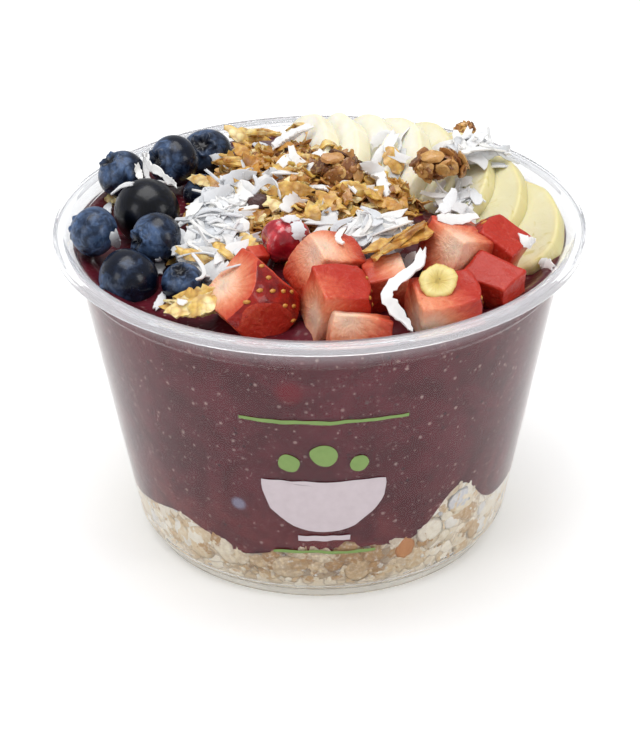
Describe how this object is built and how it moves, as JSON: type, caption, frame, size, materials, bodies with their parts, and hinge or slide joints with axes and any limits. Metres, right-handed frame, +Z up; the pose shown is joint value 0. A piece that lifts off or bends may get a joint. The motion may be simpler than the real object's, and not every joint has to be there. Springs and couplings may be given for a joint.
{
  "type": "acai bowl",
  "caption": "Clear round deli cup of thick purple acai puree over a granola layer, topped with blueberries, cut strawberries, a banana fan, toasted granola and coconut shreds",
  "frame": {"origin": "middle of the cup's round footprint, on the underside of its foot ring", "axes": "+Z up through the cup's mouth; -Y the front, with the strawberries; +X to the right, with the banana fan's end"},
  "size_m": [0.117, 0.117, 0.085],
  "materials": {
    "clear_plastic": "clear glossy polypropylene, slightly milky",
    "acai_puree": "dense purple puree with fine pale specks, satin and moist",
    "oats": "dry rolled oats and crumbs, matte",
    "toasted_granola": "honey-toasted oats, satin",
    "blueberry_skin": "dark blue skin with pale bloom, satin",
    "dark_berry_skin": "near-black skin rubbed bare of bloom, glossy",
    "strawberry_flesh": "moist cut flesh, red skin, pale core",
    "red_berry_skin": "wet crimson skin, glossy",
    "banana_flesh": "moist creamy flesh, satin",
    "coconut": "white shredded coconut, faintly translucent",
    "raisin_skin": "wrinkled dark dried fruit, satin"
  },
  "bodies": {
    "root": {"cup": "clear_plastic", "granola_layer": "oats", "acai": "acai_puree", "blueberry_1": "blueberry_skin", "blueberry_2": "blueberry_skin", "blueberry_3": "blueberry_skin", "blueberry_4": "dark_berry_skin", "blueberry_5": "blueberry_skin", "blueberry_6": "blueberry_skin", "blueberry_7": "blueberry_skin", "blueberry_8": "blueberry_skin", "blueberry_9": "blueberry_skin", "strawberry_1": "strawberry_flesh", "strawberry_2": "strawberry_flesh", "strawberry_3": "strawberry_flesh", "strawberry_4": "strawberry_flesh", "strawberry_5": "strawberry_flesh", "strawberry_6": "strawberry_flesh", "strawberry_7": "strawberry_flesh", "strawberry_8": "strawberry_flesh", "strawberry_9": "strawberry_flesh", "strawberry_10": "strawberry_flesh", "banana_1": "banana_flesh", "banana_2": "banana_flesh", "banana_3": "banana_flesh", "banana_4": "banana_flesh", "banana_5": "banana_flesh", "banana_6": "banana_flesh", "banana_7": "banana_flesh", "banana_8": "banana_flesh", "red_berry": "red_berry_skin", "raisin": "raisin_skin", "granola_cluster_middle": "toasted_granola", "granola_cluster_right": "toasted_granola", "granola_bit_back": "toasted_granola", "granola_chip_long": "toasted_granola", "granola_chip_front": "toasted_granola", "granola_chip_back": "toasted_granola", "granola_chip_left": "toasted_granola", "granola_heap": "toasted_granola", "oat_flake": "oats", "coconut_strand_right": "coconut", "coconut_strand_left": "coconut", "coconut_strand_back": "coconut", "coconut_strand_middle": "coconut", "coconut_strand_wavy": "coconut", "coconut_strand_curl": "coconut", "coconut_heap_left": "coconut", "coconut_heap_middle": "coconut", "coconut_heap_right": "coconut"}
  },
  "joints": []
}
